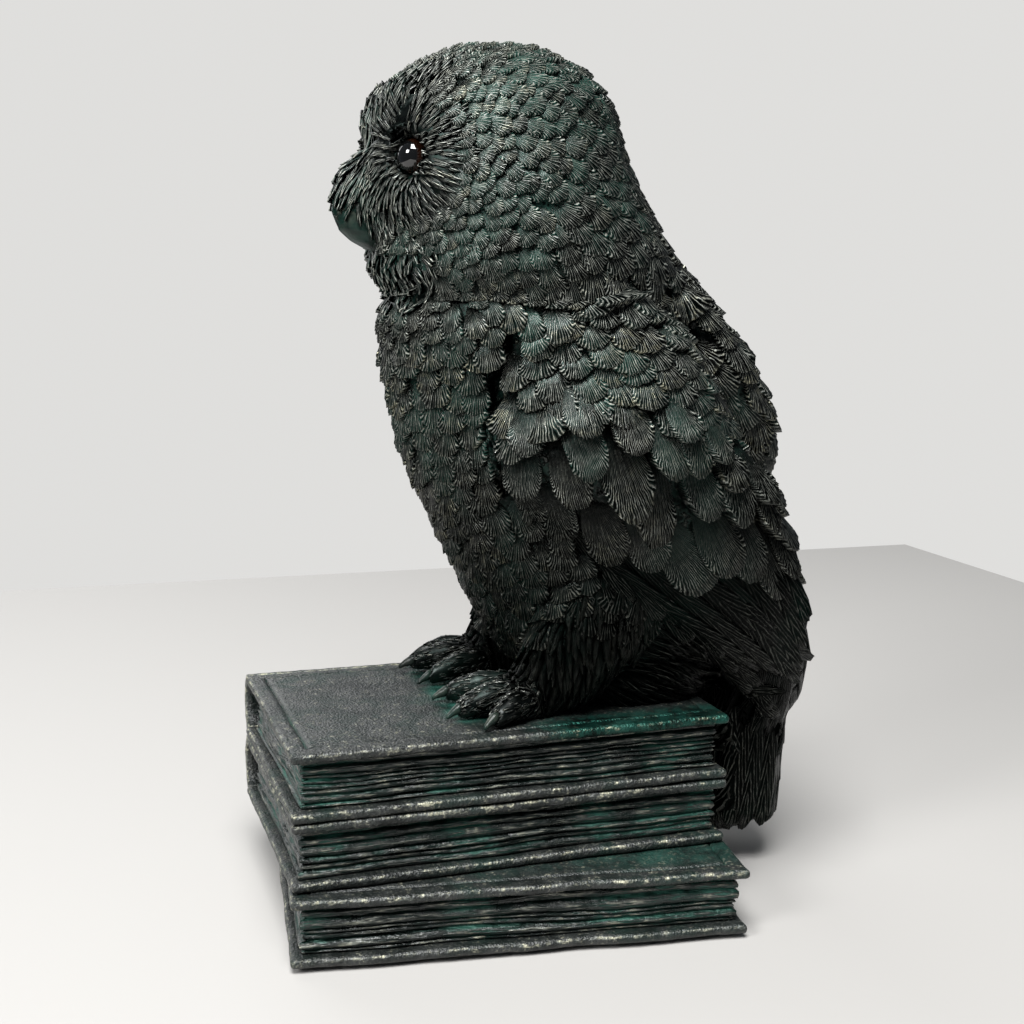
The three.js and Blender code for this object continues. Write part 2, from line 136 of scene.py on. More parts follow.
class Paint:
    """A material or node group under construction, with short calls for the nodes it uses."""

    def __init__(self, tree):
        self.tree = tree

    def node(self, kind, **settings):
        made = self.tree.nodes.new(kind)
        for key, value in settings.items():
            setattr(made, key, value)
        return made

    def link(self, source, target):
        if isinstance(source, (int, float)):
            target.default_value = source
        elif isinstance(source, tuple):
            target.default_value = source if len(source) == len(target.default_value) else (*source, 1.0)
        else:
            self.tree.links.new(source, target)

    def math(self, operation, a, b=0.0, c=None, clamp=False):
        made = self.node("ShaderNodeMath", operation=operation, use_clamp=clamp)
        self.link(a, made.inputs[0])
        self.link(b, made.inputs[1])
        if c is not None:
            self.link(c, made.inputs[2])
        return made.outputs[0]

    def step(self, value, low, high, out_low=0.0, out_high=1.0):
        made = self.node("ShaderNodeMapRange", interpolation_type="SMOOTHSTEP")
        for socket, given in zip(made.inputs[:5], (value, low, high, out_low, out_high)):
            self.link(given, socket)
        return made.outputs[0]

    def mix(self, factor, a, b, blend="MIX"):
        made = self.node("ShaderNodeMix", data_type="RGBA", blend_type=blend)
        self.link(factor, made.inputs[0])
        self.link(a, made.inputs[6])
        self.link(b, made.inputs[7])
        return made.outputs[2]

    def place(self, scale=(1.0, 1.0, 1.0), turn=0.0):
        coordinates = self.node("ShaderNodeTexCoord").outputs["Object"]
        mapping = self.node("ShaderNodeMapping")
        mapping.inputs["Scale"].default_value = scale
        mapping.inputs["Rotation"].default_value = (0, 0, turn)
        self.link(coordinates, mapping.inputs["Vector"])
        return mapping.outputs[0]

    def noise(self, vector, scale, detail=3.0, roughness=0.55):
        made = self.node("ShaderNodeTexNoise")
        self.link(vector, made.inputs["Vector"])
        made.inputs["Scale"].default_value = scale
        made.inputs["Detail"].default_value = detail
        made.inputs["Roughness"].default_value = roughness
        return made.outputs[0]

    def cells(self, vector, scale):
        made = self.node("ShaderNodeTexVoronoi")
        self.link(vector, made.inputs["Vector"])
        made.inputs["Scale"].default_value = scale
        return made.outputs["Distance"]

    def attribute(self, name):
        return self.node("ShaderNodeAttribute", attribute_name=name).outputs["Fac"]

    def wear(self, coat, shader, colour=None, roughness=None, metal=None):
        """Puts a coat of aged bronze, with its painted highlights and painted shade, on a shader, or what
        the material made of its parts.
        """
        for given, part, socket in ((colour, "Colour", "Base Color"), (roughness, "Roughness", "Roughness"),
                                    (metal, "Metal", "Metallic")):
            self.link(coat[part] if given is None else given, shader[socket])


def new_group(name, inputs, outputs):
    tree = bpy.data.node_groups.new(name, "ShaderNodeTree")
    for label, kind, value in inputs:
        socket = tree.interface.new_socket(label, in_out="INPUT", socket_type=kind)
        if value is not None:
            socket.default_value = value
    for label, kind in outputs:
        tree.interface.new_socket(label, in_out="OUTPUT", socket_type=kind)
    paint = Paint(tree)
    return paint, paint.node("NodeGroupInput").outputs, paint.node("NodeGroupOutput").inputs


FLOAT, COLOUR = "NodeSocketFloat", "NodeSocketColor"


def build_bronze_group():
    """Black-green bronze paint, verdigris in the hollows, pale gold on the ridges; painted highlight on the
    ridges, painted shade in hollows and gaps.
    """
    p, given, out = new_group(
        "aged_bronze_and_painted_light",
        [("Ridge", FLOAT, 0.5), ("Hollow", FLOAT, 0.5), ("Verdigris", FLOAT, 0.5), ("Gold", FLOAT, 0.5),
         ("Gap", FLOAT, 0.0),
         ("Base", COLOUR, (0.0055, 0.0068, 0.0064, 1)), ("Green", COLOUR, (0.019, 0.118, 0.084, 1)),
         ("Pale", COLOUR, (0.62, 0.60, 0.43, 1)), ("Lit", COLOUR, (0.13, 0.14, 0.125, 1))],
        [("Colour", COLOUR), ("Roughness", FLOAT), ("Metal", FLOAT), ("Grain", FLOAT)])
    where = p.place()
    drift = p.noise(where, 24.0, 2.0)
    patch = p.noise(where, 90.0, 4.0, 0.6)
    speck = p.noise(where, 1000.0, 3.0, 0.7)
    brush = p.noise(where, 420.0, 3.0, 0.65)
    green = p.math("MULTIPLY", given["Hollow"], p.step(drift, 0.40, 0.60, 0.12, 1.0))
    green = p.math("MULTIPLY", green, p.step(patch, 0.34, 0.60, 0.15, 1.0))
    green = p.math("MULTIPLY", green, given["Verdigris"], clamp=True)
    gold = p.math("MULTIPLY", given["Ridge"], p.step(brush, 0.44, 0.58))
    gold = p.math("MULTIPLY", gold, p.step(patch, 0.40, 0.62, 0.25, 1.0))
    gold = p.math("MULTIPLY", gold, given["Gold"], clamp=True)
    dusk = p.mix(p.step(speck, 0.35, 0.8), given["Base"], (0.017, 0.020, 0.019))
    # Painted highlight: the ridges are lightened towards the Lit colour.
    dusk = p.mix(p.math("MULTIPLY", given["Ridge"], 0.75), dusk, given["Lit"])
    # Painted shade: the hollows are darkened to near black.
    dusk = p.mix(p.math("MULTIPLY", given["Hollow"], 0.9), dusk, (0.0012, 0.0022, 0.0019))
    colour = p.mix(green, dusk, given["Green"])
    colour = p.mix(gold, colour, given["Pale"])
    # Painted shade: the gaps go to near black over everything else.
    p.link(p.mix(given["Gap"], colour, (0.0010, 0.0016, 0.0014)), out["Colour"])
    rough = p.math("ADD", p.step(patch, 0.3, 0.7, 0.25, 0.38), p.math("MULTIPLY", green, 0.25))
    p.link(rough, out["Roughness"])
    # Metal: the gold as metal paint. The dark hollows and the gaps are painted shade, made metallic so that
    # their near-black colour reflects almost nothing.
    bare = p.math("MULTIPLY", p.math("MULTIPLY", given["Hollow"], 0.94), p.math("SUBTRACT", 1.0, green))
    metal = p.math("MULTIPLY_ADD", gold, 0.8, bare, clamp=True)
    p.link(p.math("MAXIMUM", metal, given["Gap"]), out["Metal"])
    p.link(p.math("ADD", p.math("MULTIPLY", speck, 0.7), p.math("MULTIPLY", brush, 0.3)), out["Grain"])
    return p.tree


def build_barb_group():
    """The grooves of a feather, fanned from its root, from the piece's own vane map."""
    p, given, out = new_group(
        "feather_barbs", [("Barbs", FLOAT, 12.0), ("Wander", FLOAT, 0.5)],
        [("Ridge", FLOAT), ("Along", FLOAT)])
    vane = p.node("ShaderNodeUVMap", uv_map="vane").outputs[0]
    parts = p.node("ShaderNodeSeparateXYZ")
    p.link(vane, parts.inputs[0])
    where = p.place()
    wander = p.math("MULTIPLY", p.math("SUBTRACT", p.noise(where, 420.0, 2.0), 0.5), given["Wander"])
    bent = p.math("ADD", parts.outputs[0], p.math("MULTIPLY", wander, 0.16))
    phase = p.math("MULTIPLY", bent, given["Barbs"])
    wave = p.math("SINE", p.math("MULTIPLY", phase, math.tau))
    wave = p.math("MULTIPLY_ADD", wave, 0.5, 0.5)
    p.link(wave, out["Ridge"])
    p.link(parts.outputs[1], out["Along"])
    return p.tree


def use(paint, tree, **values):
    made = paint.node("ShaderNodeGroup")
    made.node_tree = tree
    for key, value in values.items():
        paint.link(value, made.inputs[key])
    return made.outputs


def new_material(name):
    material = bpy.data.materials.new(name)
    material.use_nodes = True
    paint = Paint(material.node_tree)
    return material, paint, material.node_tree.nodes["Principled BSDF"].inputs


def bump(paint, shader, height, strength, distance):
    made = paint.node("ShaderNodeBump")
    made.inputs["Strength"].default_value = strength
    made.inputs["Distance"].default_value = distance
    paint.link(height, made.inputs["Height"])
    paint.link(made.outputs[0], shader["Normal"])


def paint_feathers(name, barbs, verdigris, gold, strength=1.0, depth=0.0013, painted_light=1.0):
    """Feathers by their vane map: barbs with painted highlights, verdigris and painted shade between,
    painted shade at the roots and towards the feet.
    """
    material, p, shader = new_material(name)
    lines = use(p, BARBS, Barbs=barbs)
    crest, tone = p.attribute("crest"), p.attribute("tone")
    edge = p.step(lines["Ridge"], 0.58, 0.95)
    rim = p.step(lines["Along"], 0.88, 0.99)
    # Painted highlight on the barbs' ridges, dimmer towards each feather's root by its crest, and along
    # each feather's tip rim.
    ridge = p.math("MULTIPLY", edge, p.step(crest, 0.30, 0.85, 0.15, 1.0))
    ridge = p.math("MAXIMUM", ridge, p.math("MULTIPLY", rim, 0.5))
    # Hollows: verdigris and painted shade between the barbs, more towards the roots; a low crest (roots,
    # skirts, bare skin) is painted shade.
    hollow = p.math("MULTIPLY", p.step(lines["Ridge"], 0.85, 0.40), p.step(crest, 1.3, 0.2, 0.80, 1.0))
    hollow = p.math("MAXIMUM", hollow, p.step(crest, 0.22, 0.02))
    # Painted shade near black in the deepest part of each groove and on the lowest crest.
    gap = p.math("MAXIMUM", p.step(lines["Ridge"], 0.44, 0.10, 0.0, 0.92), p.step(crest, 0.16, 0.02))
    # The painted highlight is broken up into glints.
    broken = p.step(p.noise(p.place(), 520.0, 3.0, 0.65), 0.42, 0.58, 0.35, 1.0)
    coat = use(p, BRONZE, Ridge=p.math("MULTIPLY", ridge, broken), Hollow=hollow, Gap=gap,
               Lit=(0.68, 0.71, 0.63),
               Verdigris=p.math("MULTIPLY", p.step(tone, 1.0, 0.2, 0.3, 1.0), verdigris),
               Gold=p.math("MULTIPLY", p.step(tone, 0.25, 0.95, 0.12, 1.0), gold))
    where = p.node("ShaderNodeSeparateXYZ")
    p.link(p.place(), where.inputs[0])
    # Painted shade: darker, and reflecting nothing, towards the feet.
    shade = p.math("MULTIPLY", p.step(where.outputs["Z"], 0.155, 0.080), 0.6)
    # Painted shade: painted_light below 1 darkens the whole material and its reflection.
    colour = p.mix(1.0, coat["Colour"], (painted_light, painted_light, painted_light), "MULTIPLY")
    p.wear(coat, shader, colour=p.mix(shade, colour, (0.0006, 0.0009, 0.0008)),
           metal=p.math("MAXIMUM", coat["Metal"], shade))
    shader["Specular IOR Level"].default_value = 0.65 * painted_light ** 2
    height = p.math("MULTIPLY_ADD", coat["Grain"], 0.16, p.math("MULTIPLY", edge, 0.9))
    bump(p, shader, height, strength, depth)
    return material


def paint_horn(name):
    material, p, shader = new_material(name)
    crest = p.attribute("crest")
    streak = p.noise(p.place((1.0, 1.0, 0.25)), 700.0, 3.0)
    # Painted highlight towards the top and front of beak and claws, painted shade below and behind, both by
    # their crest.
    coat = use(p, BRONZE, Ridge=p.math("MULTIPLY", p.math("MULTIPLY", crest, streak), 0.4),
               Hollow=p.math("MULTIPLY", p.math("SUBTRACT", 1.0, crest), 0.6),
               Verdigris=0.35, Gold=0.4, Base=(0.004, 0.005, 0.0045))
    p.link(coat["Colour"], shader["Base Color"])
    shader["Roughness"].default_value = 0.3
    shader["Specular IOR Level"].default_value = 0.25
    bump(p, shader, p.math("ADD", streak, coat["Grain"]), 0.35, 0.0003)
    return material


def paint_cover(name, turn=0.0):
    """Leather grain with a tooled border darkened as painted shade, rubbed along the edges with a painted
    highlight, and green where the bird stands.
    """
    material, p, shader = new_material(name)
    where = p.place(turn=turn)
    streak = p.noise(p.place((0.4, 0.4, 1.0), turn), 950.0, 3.0, 0.65)
    wear, wash = p.attribute("wear"), p.attribute("wash")
    grain = p.cells(where, 1500.0)
    coarse = p.noise(where, 1000.0, 4.0, 0.62)
    pits = p.noise(where, 150.0, 3.0, 0.6)
    # Rubbed gold along the rims from the wear mark, which also carries a painted highlight on each board's
    # upper rounding.
    rubbed = p.step(p.math("MULTIPLY_ADD", streak, 0.9, wear), 1.28, 1.48)
    hollow = p.math("MAXIMUM", wash, p.step(pits, 0.60, 0.40, 0.0, 0.25))
    # The tooled groove is darkened as painted shade.
    hollow = p.math("MAXIMUM", p.attribute("groove"), hollow)
    flecks = p.math("MULTIPLY", p.step(coarse, 0.52, 0.70), p.step(pits, 0.40, 0.60, 0.15, 0.55))
    coat = use(p, BRONZE, Ridge=p.math("MAXIMUM", rubbed, flecks), Hollow=hollow,
               Verdigris=p.step(wash, 0.0, 0.6, 0.45, 1.3), Gold=0.75,
               Base=p.mix(p.step(pits, 0.36, 0.62), (0.0030, 0.0038, 0.0037), (0.0150, 0.0172, 0.0165)))
    blotch = p.step(p.noise(where, 330.0, 4.0, 0.65), 0.36, 0.60)
    stain = p.math("MULTIPLY", p.math("MULTIPLY", wash, 0.8), blotch)
    p.wear(coat, shader, colour=p.mix(stain, coat["Colour"], (0.013, 0.078, 0.060)),
           roughness=p.math("ADD", coat["Roughness"], 0.10))
    shader["Specular IOR Level"].default_value = 0.6
    height = p.math("MULTIPLY_ADD", coarse, 0.9, p.math("MULTIPLY", grain, 0.5))
    bump(p, shader, height, 0.6, 0.0007)
    return material


def paint_pages(name, turn=0.0):
    """Leaves with verdigris and painted shade in the gaps between them, and rubbed pale paint and painted
    highlights on their edges.
    """
    material, p, shader = new_material(name)
    leaf = p.noise(p.place((0.10, 0.10, 1.0), turn), 1900.0, 2.0, 0.6)
    broken = p.noise(p.place((0.25, 0.25, 1.0), turn), 600.0, 3.0, 0.65)
    crest = p.attribute("crest")
    # Painted highlight on the leaves' outer edges by crest; painted shade in the gaps between sheaves.
    ridge = p.math("MULTIPLY", p.step(crest, 0.62, 0.95), p.step(leaf, 0.46, 0.56))
    ridge = p.math("MULTIPLY", ridge, p.step(broken, 0.40, 0.60, 0.25, 1.0))
    hollow = p.math("MAXIMUM", p.step(crest, 0.75, 0.15), p.step(leaf, 0.50, 0.38, 0.0, 0.7))
    coat = use(p, BRONZE, Ridge=ridge, Hollow=hollow, Verdigris=0.95, Gold=0.75,
               Base=(0.007, 0.0105, 0.0095), Pale=(0.60, 0.59, 0.44), Lit=(0.24, 0.255, 0.22))
    p.wear(coat, shader)
    shader["Specular IOR Level"].default_value = 0.6
    bump(p, shader, p.math("MULTIPLY_ADD", coat["Grain"], 0.35, leaf), 0.9, 0.0008)
    return material


def paint_eye(name):
    """Black glass with a dark amber iris that only shows near its rim."""
    material, p, shader = new_material(name)
    iris = p.attribute("iris")
    fleck = p.noise(p.place(), 1400.0, 2.0)
    amber = p.mix(fleck, (0.012, 0.004, 0.002), (0.034, 0.010, 0.004))
    p.link(p.mix(iris, (0.002, 0.002, 0.002), amber), shader["Base Color"])
    shader["Roughness"].default_value = 0.04
    shader["Coat Weight"].default_value = 1.0
    shader["Coat Roughness"].default_value = 0.02
    return material


def paint_felt(name):
    material, p, shader = new_material(name)
    fuzz = p.noise(p.place(), 2600.0, 4.0, 0.7)
    p.link(p.mix(fuzz, (0.008, 0.012, 0.010), (0.035, 0.045, 0.04)), shader["Base Color"])
    shader["Roughness"].default_value = 0.95
    bump(p, shader, fuzz, 0.8, 0.0003)
    return material


def paint_floor():
    material, _, shader = new_material("pale_floor")
    shader["Base Color"].default_value = (0.40, 0.39, 0.375, 1)
    shader["Roughness"].default_value = 0.7
    return material


# ---------------------------------------------------------------- mesh helpers

def outwards(bm):
    """Turns every face of a closed shape outwards."""
    bmesh.ops.recalc_face_normals(bm, faces=bm.faces[:])


def finish_mesh(bm, name, material, ride=True, nodes=(), soft=True):
    for face in bm.faces:
        face.smooth = soft
    mesh = bpy.data.meshes.new(name)
    bm.to_mesh(mesh)
    bm.free()
    piece = bpy.data.objects.new(name, mesh)
    bpy.context.scene.collection.objects.link(piece)
    mesh.materials.append(material)
    if ride:
        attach(piece, BODY)
    if nodes:
        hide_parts(*nodes)
    return piece


def merged_nodes(names):
    """The CAD nodes' solids in one bmesh, with their loose triangles joined."""
    bm = bmesh.new()
    for name in names:
        bm.from_mesh(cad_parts[name].data)
    bmesh.ops.remove_doubles(bm, verts=bm.verts[:], dist=1e-6)
    return bm


def remeshed(bm, voxel, rounds):
    """The same solids as one even, smoothed skin."""
    mesh = bpy.data.meshes.new("skin")
    bm.to_mesh(mesh)
    bm.free()
    carrier = bpy.data.objects.new("skin", mesh)
    bpy.context.scene.collection.objects.link(carrier)
    remesh = carrier.modifiers.new("even", "REMESH")
    remesh.mode = "VOXEL"
    remesh.voxel_size = voxel
    bpy.context.view_layer.update()
    even = bpy.data.meshes.new_from_object(carrier.evaluated_get(bpy.context.evaluated_depsgraph_get()))
    bpy.data.objects.remove(carrier)
    bpy.data.meshes.remove(mesh)
    made = bmesh.new()
    made.from_mesh(even)
    bpy.data.meshes.remove(even)
    for _ in range(rounds):
        bmesh.ops.smooth_vert(made, verts=made.verts[:], factor=0.5,
                              use_axis_x=True, use_axis_y=True, use_axis_z=True)
    return made


# ---------------------------------------------------------------- feathers

def swell(value, full):
    """Rises from 0, ever more slowly, to 1 where value is full."""
    return math.sin(min(value / full, 1.0) * math.pi / 2)


class Vane:
    """A feather, tuft or quill as a small closed shape: a grid of ridges with a skirt down to the skin."""

    def __init__(self, across, along):
        bm = bmesh.new()
        bmesh.ops.create_grid(bm, x_segments=across, y_segments=along, size=0.5)
        top = set(bm.verts)
        rim = [edge for edge in bm.edges if edge.is_boundary]
        bmesh.ops.extrude_edge_only(bm, edges=rim)
        hem = [edge for edge in bm.edges if edge.is_boundary]
        for vert in bm.verts:
            if vert not in top:
                vert.co.z = -1.0
        bmesh.ops.contextual_create(bm, geom=hem)
        outwards(bm)
        self.mesh = bpy.data.meshes.new("vane")
        bm.to_mesh(self.mesh)
        bm.free()
        self.columns = across
        self.spots = [(v.co.x * 2, v.co.y + 0.5, v.co.z < -0.5, round((v.co.x + 0.5) * across))
                      for v in self.mesh.vertices]


def build_vanes():
    return {"scallop": Vane(12, 2), "tuft": Vane(3, 4), "fan": Vane(22, 6), "quill": Vane(8, 12)}


class Plumage:
    """One piece of the owl: its own skin with the feathers that grow on it."""

    def __init__(self, name, nodes, voxel=1.1, rounds=3, shrink=0.0):
        self.name = name
        self.nodes = nodes
        self.rng = random.Random(1009)
        self.bm = bmesh.new()
        if nodes:
            self.bm = carved(remeshed(merged_nodes(nodes), voxel * MM, rounds), FURROWS, SWELLS)
        if shrink:
            normals = [(vert, vert.normal.copy()) for vert in self.bm.verts]
            for vert, normal in normals:
                vert.co -= normal * shrink * MM
        self.vane_map = self.bm.loops.layers.uv.new("vane")
        self.crest = self.bm.verts.layers.float.new("crest")
        self.tone = self.bm.verts.layers.float.new("tone")
        for vert in self.bm.verts:
            vert[self.crest], vert[self.tone] = BARE_CREST, BARE_TONE
        for face in self.bm.faces:
            for loop in face.loops:
                loop[self.vane_map].uv = (0.5, 0.0)

    def grow(self, root, flow, width, length, lift, shape="scallop", ridge=0.14, sink=0.5, tilt=0.0):
        """Adds a feather from root along flow, laid on the shared skin and lifted towards its tip."""
        vane = VANES[shape]
        first = len(self.bm.verts)
        first_face = len(self.bm.faces)
        self.bm.from_mesh(vane.mesh)
        self.bm.verts.ensure_lookup_table()
        self.bm.faces.ensure_lookup_table()
        base, normal, _, _ = SKIN.find_nearest(root)
        along = (flow - normal * flow.dot(normal)).normalized()
        across = normal.cross(along)
        width *= MM
        length *= MM
        tone = self.rng.random()
        ragged = [self.rng.uniform(-0.055, 0.02) for _ in range(vane.columns + 1)]
        spots = {}
        for index, (u, v, is_skirt, column) in enumerate(vane.spots):
            vert = self.bm.verts[first + index]
            if shape == "scallop":
                spread = 0.42 + 0.58 * swell(v, 0.85)
                reach = v * (1.0 - 0.26 * abs(u) ** 2.6 * v + ragged[column])
                crown = 0.55 * (1 - u * u)
            elif shape == "tuft":
                spread = math.sin(math.pi * (0.14 + 0.80 * v)) ** 0.8
                reach = v
                crown = 0.9 * (1 - abs(u))
            elif shape == "fan":
                spread = 0.48 + 0.52 * swell(v, 0.6)
                reach = v * (1.0 - 0.30 * abs(u) ** 3.2 * smooth(0.3, 1.0, v) + ragged[column] * 0.4)
                crown = 0.7 * (1 - u * u)
            else:
                spread = (0.62 + 0.38 * swell(v, 0.4)) * (1 - 0.25 * smooth(0.75, 1.0, v))
                reach = v * (1.0 - 0.10 * abs(u) ** 2.0 * smooth(0.7, 1.0, v))
                crown = 0.8 * (1 - abs(u)) ** 0.8
            side = u * spread * width / 2
            guess = base + along * (reach * length) + across * side
            spot, facing, _, _ = SKIN.find_nearest(guess)
            fade = smooth(0.0, 0.45, v)
            wave = (1.0 if column % 2 else -1.0) * ridge * fade
            height = -sink + (lift + sink) * v ** 1.15 + crown * fade * (lift * 0.35 + 0.15)
            height += wave + tilt * u * fade * lift
            if is_skirt:
                vert.co = spot - facing * (SKIRT * MM)
                vert[self.crest] = 0.0
            else:
                vert.co = spot + facing * (height * MM)
                # crest: low at the root and zero on the skirt, painted shade; high at the tip and on the
                # raised columns, painted highlight.
                height_mark = 0.12 + 0.75 * v + (0.13 if wave > 0 else -0.13) * fade
                # Tufts: painted highlight along their middle and towards the tip, painted shade at their
                # sides.
                if shape == "tuft":
                    height_mark = (1 - abs(u)) * 1.4 * (0.4 + 0.6 * v)
                vert[self.crest] = min(max(height_mark, 0.0), 1.0)
            vert[self.tone] = tone
            if shape == "quill":
                barb = abs(u) * 0.5 - 0.13 * v * length / width
            else:
                full = math.atan2(width / 2, 1.15 * length)
                barb = 0.5 + 0.5 * math.atan2(u * spread * width / 2, (v + 0.15) * length) / full
            spots[vert] = (barb, v)
        for face in self.bm.faces[first_face:]:
            for loop in face.loops:
                loop[self.vane_map].uv = spots[loop.vert]

    def done(self, material):
        return finish_mesh(self.bm, self.name, material, nodes=self.nodes)


def in_furrow(point):
    """Whether a point is in or beside one of the furrows along the wings, where no feather has its root."""
    return any(near < abs(point.y - MIDDLE_Y) < far and to_run(point.x, point.z, run) < bare
               for (run, (near, far), _, _), bare in zip(FURROWS, BARE_BESIDE))


def said(given, point):
    """What a given function says for this point, or the given value itself."""
    return given(point) if callable(given) else given


def from_top(point):
    return -point.z


def scatter(names, across, along, flow, order, seed, keep=None):
    """Even, staggered roots on the skin over the named parts.

    across and along are the spacing in millimetres and flow the direction, each a value or a function
    of the point; rows are filled from the least value of order upwards."""
    rng = random.Random(seed)
    spots = [(p, n) for p, n, near in SPOTS
             if near in names and (keep is None or keep(p)) and not in_furrow(p)]
    rng.shuffle(spots)
    spots.sort(key=lambda spot: order(spot[0]))
    cell = 10.0
    taken = {}
    chosen = []
    for point, normal in spots:
        wide, deep, heading = said(across, point), said(along, point), said(flow, point)
        heading = (heading - normal * heading.dot(normal)).normalized()
        sideways = normal.cross(heading)
        key = tuple(int(math.floor(c / cell)) for c in point)
        around = (other for i in (-1, 0, 1) for j in (-1, 0, 1) for k in (-1, 0, 1)
                  for other in taken.get((key[0] + i, key[1] + j, key[2] + k), ()))
        if any(((gap := other - point).dot(sideways) / wide) ** 2 + (gap.dot(heading) / deep) ** 2 < 1.0
               and other_normal.dot(normal) > 0 for other, other_normal in around):
            continue
        taken.setdefault(key, []).append((point, normal))
        chosen.append((point, normal, heading))
    return chosen


HAIRY = ("facial_disc", "brow", "bristles", "toe", "instep")
FLUFFY = ("leg", "undertail")
HAIR_SPOTS, FLUFF_SPOTS, FEATHER_SPOTS = 3.6, 1.5, 0.55     # places for a root per square millimetre


def sample_skin(bm, seed):
    """Random points over a skin, in stack millimetres, each with its normal and the part it lies over."""
    rng = random.Random(seed)
    trees = {name: BVHTree.FromBMesh(merged_nodes([name])) for name in OWL_NODES}
    spots = []
    for face in bm.faces:
        middle = face.calc_center_median()
        near = min(trees, key=lambda name: trees[name].find_nearest(middle)[3])
        if near in ("head", "torso"):
            where = local(middle)
            near = "head" if where.z > ledge(where.x) + 2 else "torso"
        face_part = near == "head" and face_distance(local(middle)) < 30
        density = HAIR_SPOTS if face_part or any(word in near for word in HAIRY) else FEATHER_SPOTS
        if any(word in near for word in FLUFFY):
            density = FLUFF_SPOTS
        share = face.calc_area() / (MM * MM) * density
        count = int(share) + (rng.random() < share - int(share))
        corners = [v.co for v in face.verts]
        for _ in range(count):
            a, b = rng.random(), rng.random()
            if a + b > 1:
                a, b = 1 - a, 1 - b
            turn = rng.choice((0, 2)) if len(corners) > 3 else 0
            one, two, three = corners[turn], corners[turn + 1], corners[(turn + 2) % len(corners)]
            spots.append((local(one + (two - one) * a + (three - one) * b), face.normal.copy(), near))
    return spots


# ---------------------------------------------------------------- the owl

OWL_NODES = [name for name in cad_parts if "book" not in name and not name.startswith("felt")]
EYES = {side: sum((Vector(corner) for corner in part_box(f"{side}_eye")), Vector()) / 2 for side in SIDES}
MUFFLE = Vector((34.0, MIDDLE_Y, 189.0))
FACE = Vector((34.0, MIDDLE_Y, 202.0))
DOWN = Vector((0.0, 0.0, -1.0))

# Furrows, the same on both sides: their run through (x, z), how far from the middle they begin and
# end, depth and width. The first two are the wings', the last the brows'.
WING_SIDE = 15                    # a furrow that begins further out than this is a wing's
BARE_BESIDE = (4.1, 1.6)          # how far from each wing furrow no feather has its root
FURROWS = (
    (((57, 161), (54.3, 156), (55.0, 136), (58.5, 119)), (18, 70), 5.2, 1.9),
    (((88, 168), (93, 162), (105, 149), (114.5, 137), (124, 127), (132, 117)), (20, 70), 3.4, 2.2),
    (((36.5, 219.5), (35.0, 216), (33.4, 212), (32.0, 208.5)), (9.5, 19), 3.2, 1.7),
)
# Where the bridge, the brows, the muffle and the wings' back edges are pushed out or in: middle (with
# None on both sides alike), reach and push.
SWELLS = (
    ((23.0, MIDDLE_Y, 199.0), 6.0, (-4.2, 0.0, 0.8)),
    ((27.5, MIDDLE_Y, 209.0), 5.0, (2.4, 0.0, 0.0)),
    ((22.0, MIDDLE_Y, 190.0), 6.0, (-1.6, 0.0, 0.0)),
    ((145.0, None, 108.0), 11.0, (-4.5, 0.0, 0.0)),
)


def ledge(x):
    """The height at which the neck's feathers hang over the body."""
    return 157.0 + 13.0 * smooth(54, 84, x)


def to_run(x, z, run):
    """The distance from a point to a line of short straights, seen from the side."""
    best = 1e9
    for (ax, az), (bx, bz) in zip(run, run[1:]):
        t = ((x - ax) * (bx - ax) + (z - az) * (bz - az)) / ((bx - ax) ** 2 + (bz - az) ** 2)
        t = min(max(t, 0.0), 1.0)
        best = min(best, math.hypot(x - ax - (bx - ax) * t, z - az - (bz - az) * t))
    return best


def carved(bm, furrows, swells=()):
    """Presses furrows into a skin, straight inwards on the wings, and moves its swells out or in."""
    bm.normal_update()
    moves = []
    for vert in bm.verts:
        x, y, z = local(vert.co)
        off = abs(y - MIDDLE_Y)
        facing = math.copysign(vert.normal.y, vert.normal.y * (y - MIDDLE_Y))
        for run, (near, far), depth, width in furrows:
            if not near < off < far:
                continue
            gap = to_run(x, z, run)
            sunk = -depth * math.exp(-(gap / width) ** 2) * MM
            if gap > width * 3:
                continue
            if near > WING_SIDE:
                amount = math.copysign(smooth(near, near + 8, off), y - MIDDLE_Y)
                moves.append((vert, Vector((0, amount, 0)) * sunk))
            elif facing > -0.2:
                moves.append((vert, vert.normal * sunk))
        for middle, reach, push in swells:
            aside = 0.0 if middle[1] is None else y - middle[1]
            gap = Vector((x - middle[0], aside, z - middle[2])).length / reach
            if gap < 2.5:
                moves.append((vert, Vector(push) * (math.exp(-gap ** 2) * MM)))
    for vert, move in moves:
        vert.co += move
    return bm


def build_skin():
    """The whole bird's skin, on which all its feathers lie; the neck is filled so they hang evenly."""
    bm = merged_nodes([name for name in OWL_NODES if "eye" not in name and "claw" not in name])
    neck = Matrix.Translation(at(75.5, MIDDLE_Y, 161)) @ Matrix.Diagonal((43.0 * MM, 38.6 * MM, 22 * MM, 1))
    bmesh.ops.create_uvsphere(bm, u_segments=48, v_segments=24, radius=1.0, matrix=neck)
    return carved(remeshed(bm, 1.3 * MM, 5), FURROWS[2:], SWELLS)


def build_under_plumage():
    """What shows at the bottom of the furrows and between feathers, painted near black as shade by its low
    crest.
    """
    skin = Plumage("under_plumage", [])
    skin.bm = carved(SKIN_MESH, FURROWS[:2])
    for vert, normal in [(vert, vert.normal.copy()) for vert in skin.bm.verts]:
        vert.co -= normal * (0.5 * MM)
    crest = skin.bm.verts.layers.float.new("crest")
    tone = skin.bm.verts.layers.float.new("tone")
    for vert in skin.bm.verts:
        vert[crest], vert[tone] = BARE_CREST, 0.85
    skin.bm.loops.layers.uv.new("vane")
    skin.done(FEATHERS_BREAST)


